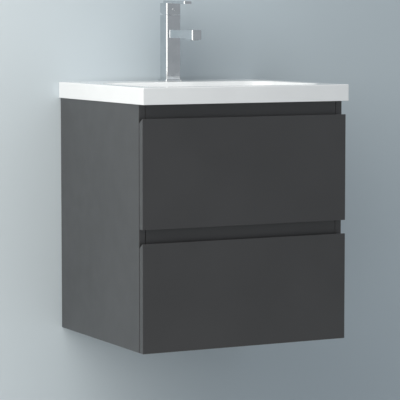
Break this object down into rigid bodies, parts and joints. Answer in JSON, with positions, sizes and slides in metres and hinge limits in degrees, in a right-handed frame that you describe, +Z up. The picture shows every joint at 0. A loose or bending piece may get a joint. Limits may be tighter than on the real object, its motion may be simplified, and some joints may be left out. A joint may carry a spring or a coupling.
{
  "type": "wall-hung vanity unit",
  "caption": "Wall-hung vanity unit with handleless overlay drawers under grip recesses, a slab basin and a square single-lever tap.",
  "frame": {"origin": "on the wall, at the centre of the four holes of the two wall plates", "axes": "+X to the right as seen from the room, +Y into the wall, +Z up"},
  "size_m": [0.506, 0.449, 0.7552],
  "materials": {
    "anthracite_lacquer": "satin anthracite lacquer on fibreboard",
    "carcass_board": "fine textured grey laminate on chipboard",
    "drawer_board": "light grey linen-look laminate on chipboard",
    "beech": "fluted beech dowel",
    "zinc_steel": "bright zinc-plated sheet steel",
    "dark_plastic": "moulded, fine texture",
    "bumper_rubber": "soft matte",
    "cast_stone": "white cast mineral with a glossy gel coat",
    "chrome": "polished chrome plate",
    "stainless_insert": "fine turned steel",
    "cartridge_plastic": "moulded",
    "brass": "turned",
    "copper_pipe": "drawn pipe, dull"
  },
  "bodies": {
    "cabinet": {"side_panel_left": "anthracite_lacquer", "side_panel_right": "anthracite_lacquer", "bottom_panel": "carcass_board", "top_rear_rail": "carcass_board", "bottom_rear_rail": "carcass_board", "upper_grip_rail": "anthracite_lacquer", "middle_grip_rail": "anthracite_lacquer", "carcass_dowels": "beech", "hanger_housing_left": "dark_plastic", "hanger_housing_right": "dark_plastic", "hanger_hook_left": "zinc_steel", "hanger_hook_right": "zinc_steel", "hanger_adjusters": "zinc_steel", "wall_plate_left": "zinc_steel", "wall_plate_right": "zinc_steel", "upper_slide_cabinet_left": "zinc_steel", "upper_slide_cabinet_right": "zinc_steel", "lower_slide_cabinet_left": "zinc_steel", "lower_slide_cabinet_right": "zinc_steel", "basin": "cast_stone", "overflow_trim": "chrome", "waste_body": "chrome", "waste_seal": "bumper_rubber", "waste_nut": "chrome", "tap_base": "chrome", "tap_body": "chrome", "tap_aerator": "stainless_insert", "tap_cartridge": "cartridge_plastic", "tap_stud": "brass", "tap_washer": "zinc_steel", "tap_nut": "brass", "supply_pipes": "copper_pipe"},
    "upper_drawer": {"upper_front": "anthracite_lacquer", "upper_box_left": "drawer_board", "upper_box_right": "drawer_board", "upper_box_floor": "drawer_board", "upper_back_left": "drawer_board", "upper_back_right": "drawer_board", "pipe_cutout": "dark_plastic", "upper_brackets": "zinc_steel", "upper_bumpers": "bumper_rubber", "upper_slide_drawer_left": "zinc_steel", "upper_slide_drawer_right": "zinc_steel"},
    "lower_drawer": {"lower_front": "anthracite_lacquer", "lower_box_left": "drawer_board", "lower_box_right": "drawer_board", "lower_box_floor": "drawer_board", "lower_box_back": "drawer_board", "lower_brackets": "zinc_steel", "lower_bumpers": "bumper_rubber", "lower_slide_drawer_left": "zinc_steel", "lower_slide_drawer_right": "zinc_steel"},
    "upper_slide_middles": {"upper_slide_middle_left": "zinc_steel", "upper_slide_middle_right": "zinc_steel"},
    "lower_slide_middles": {"lower_slide_middle_left": "zinc_steel", "lower_slide_middle_right": "zinc_steel"},
    "waste_plug": {"waste_plug": "chrome"},
    "tap_shaft": {"tap_shaft": "stainless_insert"},
    "tap_lever": {"tap_lever": "chrome", "tap_index": "chrome"}
  },
  "joints": [
    {"name": "upper_drawer_slide", "type": "slide", "parent": "cabinet", "child": "upper_drawer", "axis": [0, -1, 0], "range_m": [0, 0.345]},
    {"name": "lower_drawer_slide", "type": "slide", "parent": "cabinet", "child": "lower_drawer", "axis": [0, -1, 0], "range_m": [0, 0.345]},
    {"name": "upper_middle_slide", "type": "slide", "parent": "cabinet", "child": "upper_slide_middles", "axis": [0, -1, 0], "range_m": [0, 0.1725]},
    {"name": "lower_middle_slide", "type": "slide", "parent": "cabinet", "child": "lower_slide_middles", "axis": [0, -1, 0], "range_m": [0, 0.1725]},
    {"name": "plug_slide", "type": "slide", "parent": "cabinet", "child": "waste_plug", "axis": [0, 0, 1], "range_m": [0, 0.008]},
    {"name": "tap_turn", "type": "hinge", "parent": "cabinet", "child": "tap_shaft", "pos_m": [0, -0.066, 0.26], "axis": [0, 0, 1], "range_deg": [-45, 45]},
    {"name": "tap_lift", "type": "hinge", "parent": "tap_shaft", "child": "tap_lever", "pos_m": [0, -0.066, 0.2639], "axis": [-1, 0, 0], "range_deg": [0, 20]}
  ],
  "couplings": [
    {"joint": "upper_middle_slide", "follows": "upper_drawer_slide", "ratio": 0.5},
    {"joint": "lower_middle_slide", "follows": "lower_drawer_slide", "ratio": 0.5}
  ]
}
